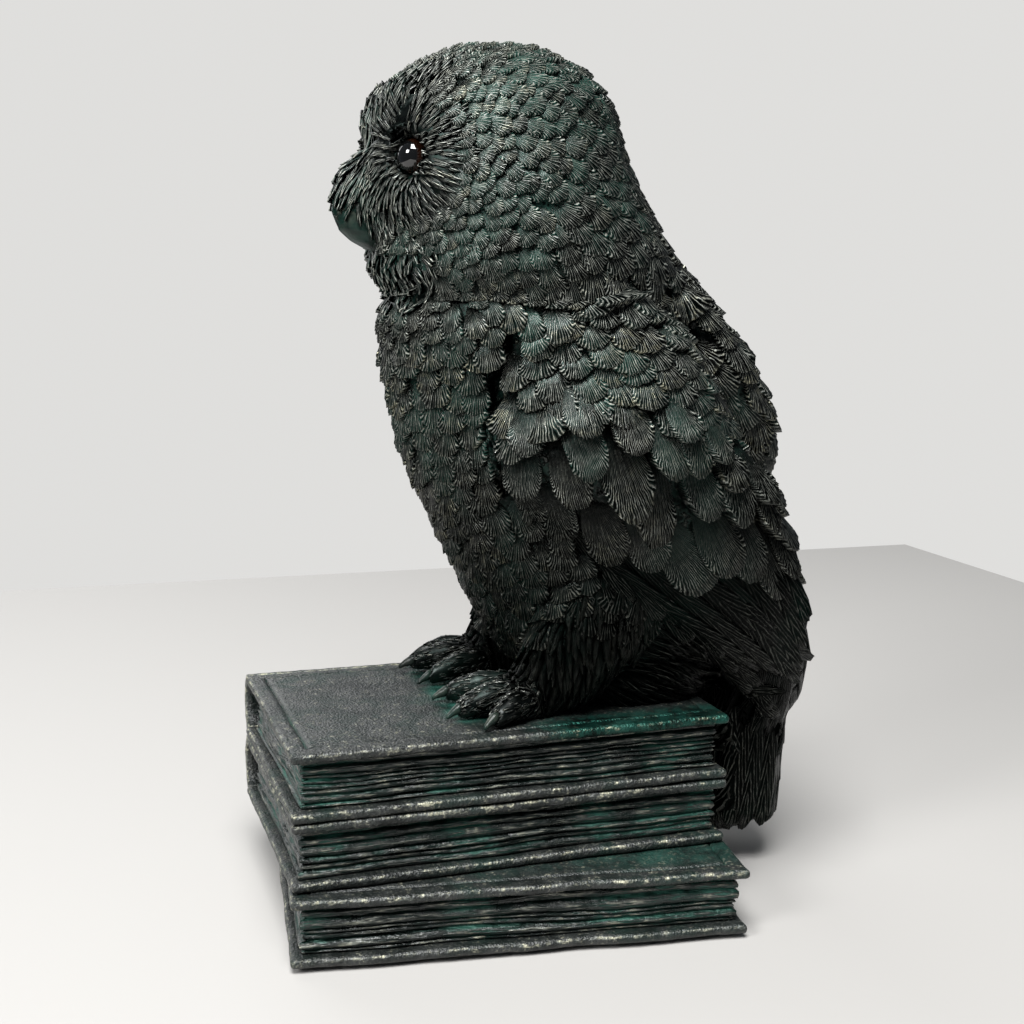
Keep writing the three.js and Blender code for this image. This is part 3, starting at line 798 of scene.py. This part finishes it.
def sided(side, vector):
    return Vector(vector) if side == "left" else Vector((vector[0], -vector[1], vector[2]))


def half(point):
    return "left" if point.y < MIDDLE_Y else "right"


def eye_distance(point):
    return (point - local(EYES[half(point)])).length


def face_distance(point):
    return (point - FACE).length


def head_flow(point):
    away = (point - Vector((36.0, MIDDLE_Y, 204.0))).normalized()
    return away + DOWN * (0.25 + 0.9 * smooth(196, 172, point.z))


def round_muffle(point):
    """Over the bridge and down round the bristles above the beak."""
    off = point - MUFFLE
    return Vector((-off.z, off.y * 0.35, off.x)) + DOWN * 2.0


def hair_flow(point):
    away = (point - local(EYES[half(point)])).normalized()
    if point.x < 36 and point.z < 208:
        return round_muffle(point).normalized() + away * smooth(7.0, 13.0, abs(point.y - MIDDLE_Y)) * 1.2
    return away + Vector((0.25, 0, 0))


def grow_all(plumage, roots, size, lift, rng, **style):
    """A feather at each root; size is its width and length in millimetres, lift its rise."""
    for point, normal, heading in roots:
        width, length = said(size, point)
        swing = Matrix.Rotation(rng.uniform(-0.2, 0.2), 3, normal)
        plumage.grow(at(*point), swing @ heading, width * rng.uniform(0.88, 1.14),
                     length * rng.uniform(0.9, 1.14), said(lift, point) * rng.uniform(0.75, 1.3),
                     tilt=rng.uniform(-0.35, 0.35), **style)


def grow_hair(name, node, strands, size, lift, rng, voxel=0.8, shrink=0.0, material=None):
    plumage = Plumage(name, [node], voxel=voxel, shrink=shrink)
    grow_all(plumage, strands, size, lift, rng, shape="tuft", ridge=0.0, sink=0.35)
    return plumage.done(material or HAIR)


def wing_spot(side, x, z):
    """The skin's point at this place on a wing, seen square from its side."""
    start = at(x, -60.0 if side == "left" else 2 * MIDDLE_Y + 60.0, z)
    return SKIN.ray_cast(start, sided(side, (0, 1, 0)))[0]


def grow_placed(plumage, side, places, rng, **style):
    """Feathers laid one by one: each place is root x, z, tip x, z, width and lift."""
    for x0, z0, x1, z1, width, lift in places:
        spot = wing_spot(side, x0, z0)
        if spot is not None:
            heading = Vector((x1 - x0, 0.0, z1 - z0))
            plumage.grow(spot, heading, width * rng.uniform(0.96, 1.05), heading.length, lift, **style)


def build_head():
    rng = random.Random(11)
    head = Plumage("head_plumage", ["head"], rounds=4, shrink=0.3)

    def width(point):
        return 4.1 + 4.9 * smooth(30, 84, face_distance(point))

    def rise(point):
        hang = smooth(16, 3, point.z - ledge(point.x)) * smooth(96, 78, point.x) * smooth(38, 54, point.x)
        return 1.0 + 0.25 * smooth(30, 70, face_distance(point)) + 2.3 * hang

    def plain(point):
        return eye_distance(point) > 15.5 and face_distance(point) > 19 and not chin(point)

    def chin(point):
        return point.x < 40 and 166 < point.z < 184

    around = ("head", "left_facial_disc", "right_facial_disc")
    roots = scatter(around, lambda p: width(p) * 0.80, lambda p: width(p) * 0.60, head_flow,
                    face_distance, 21, keep=plain)
    grow_all(head, roots, lambda p: (width(p) * 1.2, width(p) * 1.5), rise, rng)
    head.done(FEATHERS_FINE)

    hairs = scatter(around, 0.95, 2.5, hair_flow, eye_distance, 22,
                    keep=lambda p: (eye_distance(p) <= 17 or face_distance(p) <= 20) and not chin(p))
    for side in SIDES:
        mine = [root for root in hairs if half(root[0]) == side]
        grow_hair(f"{side}_face_hair", f"{side}_facial_disc", mine, (1.2, 5.6), 0.6, rng, shrink=0.4)
        strands = scatter((f"{side}_brow",), 1.05, 2.6,
                          lambda p: Vector((0.28, 0.25 * (p.y - MIDDLE_Y) / 10, 1.0)), lambda p: p.z, 23)
        grow_hair(f"{side}_brow_hair", f"{side}_brow", strands, (1.4, 7.0), 0.85, rng, shrink=0.3)
    strands = scatter(("rictal_bristles",), 1.05, 2.6, round_muffle, from_top, 24,
                      keep=lambda p: p.z > 189.5 or p.x > 27.0 or abs(p.y - MIDDLE_Y) > 7.0)
    grow_hair("bristles_over_beak", "rictal_bristles", strands, (1.35, 6.5), 0.7, rng, shrink=0.5)
    curls = scatter(around, 1.45, 2.1, curl_flow, from_top, 25, keep=chin)
    chin_fluff = Plumage("chin_curls", [])
    grow_all(chin_fluff, curls, (1.8, 4.4), 0.9, rng, shape="tuft", ridge=0.0)
    chin_fluff.done(HAIR)


def curl_flow(point):
    return DOWN + noise.noise_vector(point * 0.16) * 2.4


def rump(x):
    """The height under which the belly and rump carry hair-like plumes and not scallops."""
    return 66.0 + 22.0 * smooth(78, 96, x)


def build_torso():
    rng = random.Random(12)
    torso = Plumage("breast_and_flank_plumage", ["torso"], voxel=1.3, shrink=0.3)
    roots = scatter(("torso",), 5.9, 4.5, Vector((0.22, 0, -1)), from_top, 31,
                    keep=lambda p: p.z > rump(p.x) + 9 * noise.noise(p * 0.11))
    grow_all(torso, roots, lambda p: (8.4, 9.4 + 2.5 * smooth(105, 80, p.z)), 1.5, rng, sink=0.6)
    torso.done(FEATHERS_BREAST)
    mantle = Plumage("mantle_plumage", ["mantle"], shrink=0.3)
    roots = scatter(("mantle",), 7.4, 5.8, Vector((0.45, 0, -1)), from_top, 32)
    grow_all(mantle, roots, (10.4, 12.5), 1.9, rng, sink=0.7)
    mantle.done(FEATHERS_WING)


# The large feathers of the left wing, lowest layer first: root x, z, tip x, z, width and lift.
PRIMARIES = (
    (72, 110, 134, 62, 8.0, 1.5), (84, 106, 141, 57.5, 7.5, 2.1), (97, 104, 146, 55.5, 7.5, 2.6),
    (109, 103, 149, 57, 7.5, 3.1), (119, 102, 149.5, 63, 7.5, 3.5), (127, 102, 149, 71, 7.0, 3.9),
    (134, 101, 147.5, 80, 7.0, 4.2),
)
GREAT_COVERTS = (
    (60, 124, 62, 107, 9.5, 1.6), (66, 122, 70, 103, 11.0, 1.8), (77, 118, 84, 98, 12.5, 2.2),
    (88, 115, 97, 97, 12.5, 2.2), (127, 108, 140, 88, 12.0, 2.0), (118, 114, 129, 94, 12.5, 2.4),
    (97, 110, 112, 92, 13.0, 2.5), (108, 115, 120, 96.5, 13.5, 3.1), (133, 113, 144.5, 93, 11.0, 2.5),
)
MIDDLE_COVERTS = (
    (124, 125, 134, 106, 10.5, 3.2), (113, 131, 123, 111, 11.0, 3.5), (102, 134, 110, 112, 11.5, 3.7),
    (68, 136, 74, 114, 10.5, 3.2), (60, 134, 61, 116, 10.0, 2.8), (91, 131, 94.5, 105, 12.0, 4.1),
    (79, 139, 89, 112, 13.5, 4.8), (70, 143, 78, 124, 10.5, 4.4), (101, 142, 104, 124, 10.0, 4.7),
    (91, 142, 97, 125, 10.5, 5.0), (62, 144, 63.5, 129, 9.5, 4.0),
    (112, 137, 118, 119, 10.0, 4.4), (82, 147, 87, 130, 10.5, 5.2), (72, 150, 75, 134, 10.0, 4.8),
    (121, 130, 129, 114, 9.5, 4.6), (108, 140, 112, 127, 9.5, 5.2), (96, 147, 100, 133, 9.5, 5.2),
)


def covert_edge(x):
    """The height on the wing under which the large feathers begin."""
    return 129 + 9 * smooth(54, 72, x) - 7 * smooth(88, 106, x) - 30 * smooth(100, 146, x)


def build_wing(side):
    rng = random.Random(13)
    shoulder = Plumage(f"{side}_shoulder_coverts", [f"{side}_wing_shoulder"], shrink=0.3)
    over = (f"{side}_wing_shoulder", f"{side}_wing_coverts")

    def near_edge(point):
        return smooth(20, 6, point.z - covert_edge(point.x))

    roots = scatter(over, 6.6, 4.7, Vector((0.25, 0, -1)), from_top, 41,
                    keep=lambda p: p.z > covert_edge(p.x) + 8 or abs(p.y - MIDDLE_Y) < 26)
    grow_all(shoulder, roots, lambda p: (9.4 + 1.2 * near_edge(p), 10.4 + 2.5 * near_edge(p)),
             lambda p: 1.9 + 1.7 * near_edge(p) * smooth(24, 34, abs(p.y - MIDDLE_Y)), rng, sink=0.6)
    shoulder.done(FEATHERS_WING)

    coverts = Plumage(f"{side}_great_coverts", [f"{side}_wing_coverts"], shrink=0.4)
    lean = -0.22 if side == "left" else 0.22
    for places in (GREAT_COVERTS, MIDDLE_COVERTS):
        grow_placed(coverts, side, places, rng, shape="fan", ridge=0.2, sink=0.3, tilt=lean)
    coverts.done(FEATHERS_LARGE)

    flight = Plumage(f"{side}_flight_feathers", [f"{side}_wing_primaries"], shrink=0.5)
    behind = scatter((f"{side}_wing_primaries", f"{side}_wing_coverts"), 4.6, 12.0,
                     Vector((0.55, 0, -0.83)), from_top, 42,
                     keep=lambda p: p.z < 112 and abs(p.y - MIDDLE_Y) < 24 + 12 * smooth(150, 112, p.x))
    grow_all(flight, behind, (6.0, 20.0), 0.9, rng, shape="quill", ridge=0.15, sink=0.4)
    grow_placed(flight, side, PRIMARIES, rng, shape="quill", ridge=0.3, sink=0.2, tilt=-1.6 * lean)
    flight.done(FEATHERS_LONG)


def build_tail():
    rng = random.Random(14)
    tail = Plumage("tail_feathers", ["tail"], shrink=0.3)
    around = scatter(("tail",), 4.6, 15.0, Vector((0.03, 0, -1)), from_top, 52, keep=lambda p: p.z > 30)
    grow_all(tail, around, (6.4, 24.0), 1.0, rng, shape="quill", ridge=0.15, sink=0.4)
    for side in SIDES:
        places = [(132.5 + 5.2 * k, 64, 133.5 + 5.0 * k, 9.5 + 0.4 * k, 7.6, 1.0 + 0.35 * k)
                  for k in range(4)]
        grow_placed(tail, side, places, rng, shape="quill", ridge=0.2, sink=0.2,
                    tilt=0.3 if side == "left" else -0.3)
    for k in range(5):
        spot = SKIN.ray_cast(at(220, MIDDLE_Y - 14 + 7 * k, 62), Vector((-1, 0, 0)))[0]
        if spot is not None:
            tail.grow(spot, DOWN, 9.0, 52, 1.8 - 0.3 * abs(k - 2), shape="quill", ridge=0.2, sink=0.2)
    tail.done(FEATHERS_LONG)
    roots = scatter(("undertail", "torso"), 1.5, 3.8,
                    lambda p: Vector((1.0, 0.1, -0.30)) + noise.noise_vector(p * 0.05) * 0.35,
                    lambda p: p.x, 51, keep=lambda p: p.x > 40 and p.z < rump(p.x) + 8)
    grow_hair("undertail_fluff", "undertail", roots, (1.9, 10.5), 1.1, rng, shrink=0.3,
              material=HAIR_SHADED)


def leg_flow(point):
    return Vector((-0.12 - 0.3 * smooth(80, 60, point.z), 0, -1)) + noise.noise_vector(point * 0.06) * 0.3


def build_legs():
    rng = random.Random(15)
    for side in SIDES:
        leg = Plumage(f"{side}_leg_plumes", [f"{side}_leg"], shrink=0.3)
        roots = scatter((f"{side}_leg",), 5.2, 4.0, leg_flow, from_top, 61,
                        keep=lambda p: p.z > 84 + 16 * noise.noise(p * 0.11))
        grow_all(leg, roots, (7.4, 9.5), 1.2, rng, sink=0.6)
        roots = scatter((f"{side}_leg",), 1.7, 3.8, leg_flow, from_top, 64, keep=lambda p: p.z <= 99)
        grow_all(leg, roots, (2.3, 11.5), 1.4, rng, shape="tuft", ridge=0.0, sink=0.4)
        leg.done(FEATHERS_LEG)
        roots = scatter((f"{side}_instep",), 1.15, 2.6, Vector((-1, 0, -0.3)), lambda p: -p.x, 62)
        grow_hair(f"{side}_instep_plumes", f"{side}_instep", roots, (1.5, 6.0), 0.7, rng, voxel=0.7)
        for toe in TOES:
            low, high = (local(corner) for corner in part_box(f"{side}_toe_{toe}"))
            claw_low, claw_high = (local(corner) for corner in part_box(f"{side}_claw_{toe}"))
            heading = (claw_low + claw_high) / 2 - (low + high) / 2
            heading.z = -0.12 * heading.length
            roots = scatter((f"{side}_toe_{toe}",), 1.0, 2.4, heading, lambda p: -p.x, 63)
            grow_hair(f"{side}_toe_{toe}_plumes", f"{side}_toe_{toe}", roots, (1.3, 5.2), 0.5, rng,
                      voxel=0.6)


def build_horn_and_eyes():
    horn = [("beak", 0.5, 6)] + [(f"{side}_claw_{toe}", 0.32, 4) for side in SIDES for toe in TOES]
    for name, voxel, rounds in horn:
        bm = remeshed(merged_nodes([name]), voxel * MM, rounds)
        crest = bm.verts.layers.float.new("crest")
        low, high = (Vector(corner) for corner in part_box(name))
        for vert in bm.verts:
            # crest: towards the top and front as painted highlight, below and behind as painted shade.
            vert[crest] = smooth(low.z, high.z, vert.co.z) * smooth(high.x, low.x, vert.co.x)
        finish_mesh(bm, f"{name}_horn", HORN, nodes=[name])
    for side in SIDES:
        gaze = sided(side, (-0.88, -0.47, 0.02)).normalized()
        ball = bmesh.new()
        bmesh.ops.create_uvsphere(ball, u_segments=40, v_segments=24, radius=4.5 * MM)
        bmesh.ops.rotate(ball, verts=ball.verts[:], matrix=gaze.to_track_quat("Z", "Y").to_matrix())
        bmesh.ops.translate(ball, verts=ball.verts[:], vec=EYES[side])
        iris = ball.verts.layers.float.new("iris")
        for vert in ball.verts:
            angle = (vert.co - EYES[side]).normalized().angle(gaze)
            vert[iris] = smooth(0.95, 1.12, angle)
        finish_mesh(ball, f"{side}_eyeball", EYE, nodes=[f"{side}_eye"])


# ---------------------------------------------------------------- the books

def book_matrix(level):
    place = Matrix.Translation(at(0, 0, level * STOREY))
    if level == 0:
        shift = Matrix.Translation(Vector((*LOWER_SHIFT, 0)) * MM)
        place = place @ shift @ Matrix.Rotation(LOWER_TURN, 4, "Z")
    return place


def wobble(point, scale, amount):
    """A small even wander of a surface, as a hand-modelled casting has; amount is in millimetres."""
    return noise.noise_vector(point * scale) * amount


def build_board(level, storey, which, material):
    """A cover board: rounded rim, tooled border line marked for painted shade, worn edges with a painted
    highlight, all a little uneven as cast.
    """
    bm = bmesh.new()
    bmesh.ops.create_grid(bm, x_segments=72, y_segments=44, size=0.5)
    bmesh.ops.scale(bm, verts=bm.verts[:], vec=(BOOK_LENGTH, HINGE, 1))
    bmesh.ops.translate(bm, verts=bm.verts[:], vec=(BOOK_LENGTH / 2, HINGE / 2, 0))
    border, line = 5.0, 0.5
    for inset in (border - line, border, border + line):
        for co, no in (((inset, 0, 0), (1, 0, 0)), ((BOOK_LENGTH - inset, 0, 0), (1, 0, 0)),
                       ((0, inset, 0), (0, 1, 0)), ((0, HINGE - inset, 0), (0, 1, 0))):
            bmesh.ops.bisect_plane(bm, geom=bm.verts[:] + bm.edges[:] + bm.faces[:],
                                   plane_co=co, plane_no=no, dist=1e-3)
    raised = bmesh.ops.extrude_face_region(bm, geom=bm.faces[:])
    top = [item for item in raised["geom"] if isinstance(item, bmesh.types.BMVert)]
    bmesh.ops.translate(bm, verts=top, vec=(0, 0, BOARD))
    outwards(bm)
    rim = [edge for edge in bm.edges if len(edge.link_faces) == 2 and edge.calc_face_angle() > SHARP]
    bmesh.ops.bevel(bm, geom=rim, offset=BOARD_ROUND + 0.2, offset_type="OFFSET", segments=4, profile=0.5,
                    affect="EDGES", clamp_overlap=True, material=-1)
    wear, groove, wash = (bm.verts.layers.float.new(name) for name in ("wear", "groove", "wash"))
    outside = BOARD if which == "top" else 0.0
    away = 1.0 if which == "top" else -1.0
    for vert in bm.verts:
        x, y, z = vert.co
        inside = min(x, BOOK_LENGTH - x, y, HINGE - y)
        tooled = inside > border - line - 0.1 and abs(inside - border) < 0.1 and abs(z - outside) < 0.05
        # Worn rims, and a painted highlight that grows towards each board's upper rounding.
        vert[wear] = smooth(1.5, 0.25, inside) * (0.55 + 0.45 * z / BOARD)
        vert[groove] = 1.0 if tooled else 0.0
        if tooled:
            vert.co.z -= 1.0 * away
        if level == 2 and which == "top":
            spill = (smooth(60, 78, x) * smooth(14, 5, y)
                     + smooth(44, 52, x) * smooth(66, 60, x) * smooth(9, 20, y))
            vert[wash] = min(spill, 1.0) * smooth(HINGE, HINGE - 10, y)
        elif which == "top":
            vert[wash] = 0.35 * smooth(30, 110, x) * smooth(3, 12, y)
        seat = Vector((x, y, z + 31 * level))
        vert.co += wobble(seat, 0.07, 0.55) * Vector((0.8, 1, 0.5)) * smooth(14, 0, inside)
        vert.co += wobble(seat, 0.45, 0.16) * Vector((1, 1, 0.6))
    place_book_piece(bm, level, BOOK_THICKNESS - BOARD if which == "top" else 0,
                     f"{storey}_{which}_cover", material, f"{storey}_book_{which}_board")


def place_book_piece(bm, level, rise, name, material, node):
    """Puts a piece modelled in millimetres from its book's corner in its place in the stack."""
    bmesh.ops.translate(bm, verts=bm.verts[:], vec=(0, 0, rise))
    bmesh.ops.scale(bm, verts=bm.verts[:], vec=(MM, MM, MM))
    bmesh.ops.transform(bm, matrix=book_matrix(level), verts=bm.verts[:])
    finish_mesh(bm, name, material, nodes=[node])


def build_spine(level, storey, material):
    half = BOOK_THICKNESS / 2
    thickness = 2.3
    bm = bmesh.new()
    bmesh.ops.create_grid(bm, x_segments=60, y_segments=20, size=0.5)
    wear = bm.verts.layers.float.new("wear")
    for name in ("groove", "wash"):
        bm.verts.layers.float.new(name)
    for vert in bm.verts:
        turn = vert.co.y * math.pi
        x = (vert.co.x + 0.5) * (BOOK_LENGTH - 1.2) + 0.6
        vert.co = Vector((x, HINGE + 0.3 + 6.7 * math.cos(turn), half + (half - 0.05) * math.sin(turn)))
        vert[wear] = max(smooth(4.0, 0.8, min(x, BOOK_LENGTH - x)), smooth(1.35, 1.56, abs(turn)))
    outwards(bm)
    if bm.faces[:][0].normal.dot(Vector((0, bm.faces[:][0].calc_center_median().y - HINGE, 0))) < 0:
        bmesh.ops.reverse_faces(bm, faces=bm.faces[:])
    bmesh.ops.solidify(bm, geom=bm.faces[:], thickness=thickness)
    outwards(bm)
    for vert in bm.verts:
        vert.co += wobble(vert.co + Vector((0, 0, 31 * level)), 0.35, 0.2)
    place_book_piece(bm, level, 0, f"{storey}_spine_cover", material, f"{storey}_book_spine")


def build_pages(level, storey, material):
    """Leaves gathered in uneven sheaves: an outline pushed up row by row, out at each sheaf, in between."""
    rng = random.Random(70 + level)
    z0, z1 = BOARD + 0.12, BOOK_THICKNESS - BOARD - 0.12
    left, right, front, back = OVERHANG - 0.3, BOOK_LENGTH - OVERHANG + 0.3, OVERHANG, HINGE - 4.5
    bm = bmesh.new()
    bmesh.ops.create_grid(bm, x_segments=1, y_segments=1, size=0.5)
    bmesh.ops.scale(bm, verts=bm.verts[:], vec=(right - left, back - front, 1))
    bmesh.ops.translate(bm, verts=bm.verts[:], vec=((left + right) / 2, (front + back) / 2, z0))
    bmesh.ops.subdivide_edges(bm, edges=bm.edges[:], cuts=72, use_grid_fill=False)
    crest = bm.verts.layers.float.new("crest")
    top = bm.faces[:][0]
    start = [vert.co.copy() for vert in top.verts]
    rows = [(z0, 1.6, 0.0)]
    height = z0 + 0.15
    while height < z1 - 0.9:
        thick = min(rng.choice((0.9, 1.4, 2.0, 2.8)), z1 - 0.15 - height)
        out = rng.choice((0.0, 0.25, 0.55, 0.9))
        gap = rng.uniform(1.3, 2.0)
        rows += [(height, gap, 0.0), (height + 0.12 * thick, out + 0.25, 0.75),
                 (height + 0.5 * thick, out, 1.0), (height + 0.85 * thick, out + 0.2, 0.8)]
        height += thick
        rows.append((height, gap, 0.0))
        height += rng.uniform(0.2, 0.5)
    rows.append((z1, 1.6, 0.0))
    phase = rng.uniform(0, 50)
    for row, (level_z, pull, lit) in enumerate(rows):
        if row:
            top = bmesh.ops.extrude_discrete_faces(bm, faces=[top])["faces"][0]
        free = smooth(z0, z0 + 2, level_z) * smooth(z1, z1 - 2, level_z)
        for vert, spot in zip(top.verts, start):
            edge = Vector((1 if abs(spot.x - left) < 0.1 else -1 if abs(spot.x - right) < 0.1 else 0,
                           1 if abs(spot.y - front) < 0.1 else 0, 0))
            wave = noise.noise(Vector((spot.x * 0.035, spot.y * 0.035, phase + level_z * 0.12)))
            ripple = noise.noise(Vector((spot.x * 0.22, spot.y * 0.22, phase + level_z * 1.6)))
            inward = max(pull + 0.75 * wave + 0.35 * ripple, -0.2)
            level_here = level_z + free * (0.75 * wave + 0.18 * ripple)
            vert.co = Vector((spot.x, spot.y, level_here)) + edge * inward
            # crest carries lit: painted highlight on each sheaf's outer edge, painted shade in the gaps
            # between sheaves.
            vert[crest] = lit * (0.8 + 0.4 * ripple)
    outwards(bm)
    place_book_piece(bm, level, 0, f"{storey}_page_block", material, f"{storey}_book_pages")


def build_books():
    for level, storey in enumerate(("lower", "middle", "upper")):
        cover = COVER_TURNED if level == 0 else COVER
        for which in ("bottom", "top"):
            build_board(level, storey, which, cover)
        build_spine(level, storey, cover)
        build_pages(level, storey, PAGES_TURNED if level == 0 else PAGES)
    for k in range(1, 5):
        low, high = (Vector(corner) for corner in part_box(f"felt_pad_{k}"))
        bm = bmesh.new()
        bmesh.ops.create_cone(bm, cap_ends=True, cap_tris=False, segments=40, radius1=(high.x - low.x) / 2,
                              radius2=(high.x - low.x) / 2, depth=high.z - low.z,
                              matrix=Matrix.Translation((low + high) / 2))
        rim = [edge for edge in bm.edges if edge.calc_face_angle() > SHARP]
        bmesh.ops.bevel(bm, geom=rim, offset=0.3 * MM, offset_type="OFFSET", segments=3, profile=0.5,
                        affect="EDGES", clamp_overlap=True, material=-1)
        finish_mesh(bm, f"felt_foot_{k}", FELT, nodes=[f"felt_pad_{k}"], soft=False)


# ---------------------------------------------------------------- put together

BRONZE = build_bronze_group()
BARBS = build_barb_group()
# painted_light below 1 makes darker copies of the same feathers as painted shade: a little for breast and
# large coverts, much for the long feathers, legs and shaded plumes.
FEATHERS_FINE = paint_feathers("crown_and_neck_feathers", 11.0, 1.5, 0.7)
FEATHERS_BREAST = paint_feathers("breast_feathers", 11.0, 1.3, 1.6, painted_light=0.8)
FEATHERS_WING = paint_feathers("wing_feathers", 13.0, 0.9, 1.5)
FEATHERS_LARGE = paint_feathers("large_wing_feathers", 20.0, 0.9, 0.7, painted_light=0.8)
FEATHERS_LONG = paint_feathers("long_feathers", 8.0, 1.0, 0.3, painted_light=0.38)
FEATHERS_LEG = paint_feathers("leg_feathers", 8.0, 1.4, 0.25, painted_light=0.35)
HAIR = paint_feathers("hair_like_plumes", 2.0, 0.7, 0.6, 0.7, 0.0004)
HAIR_SHADED = paint_feathers("shaded_plumes", 2.0, 0.6, 0.1, 0.7, 0.0004, painted_light=0.28)
HORN = paint_horn("horn")
EYE = paint_eye("black_glass_eye")
COVER = paint_cover("leather_cover")
COVER_TURNED = paint_cover("leather_cover_turned", -LOWER_TURN)
PAGES = paint_pages("page_leaves")
PAGES_TURNED = paint_pages("page_leaves_turned", -LOWER_TURN)
FELT = paint_felt("felt")

noise.seed_set(7)                 # unseeded, the noise vectors follow the clock and differ from run to run
build_stage()
build_books()
SKIN_MESH = build_skin()
SKIN = BVHTree.FromBMesh(SKIN_MESH)
SPOTS = sample_skin(SKIN_MESH, 5)
build_under_plumage()
VANES = build_vanes()
build_head()
build_torso()
for wing_side in SIDES:
    build_wing(wing_side)
build_tail()
build_legs()
build_horn_and_eyes()
for vane in VANES.values():
    bpy.data.meshes.remove(vane.mesh)
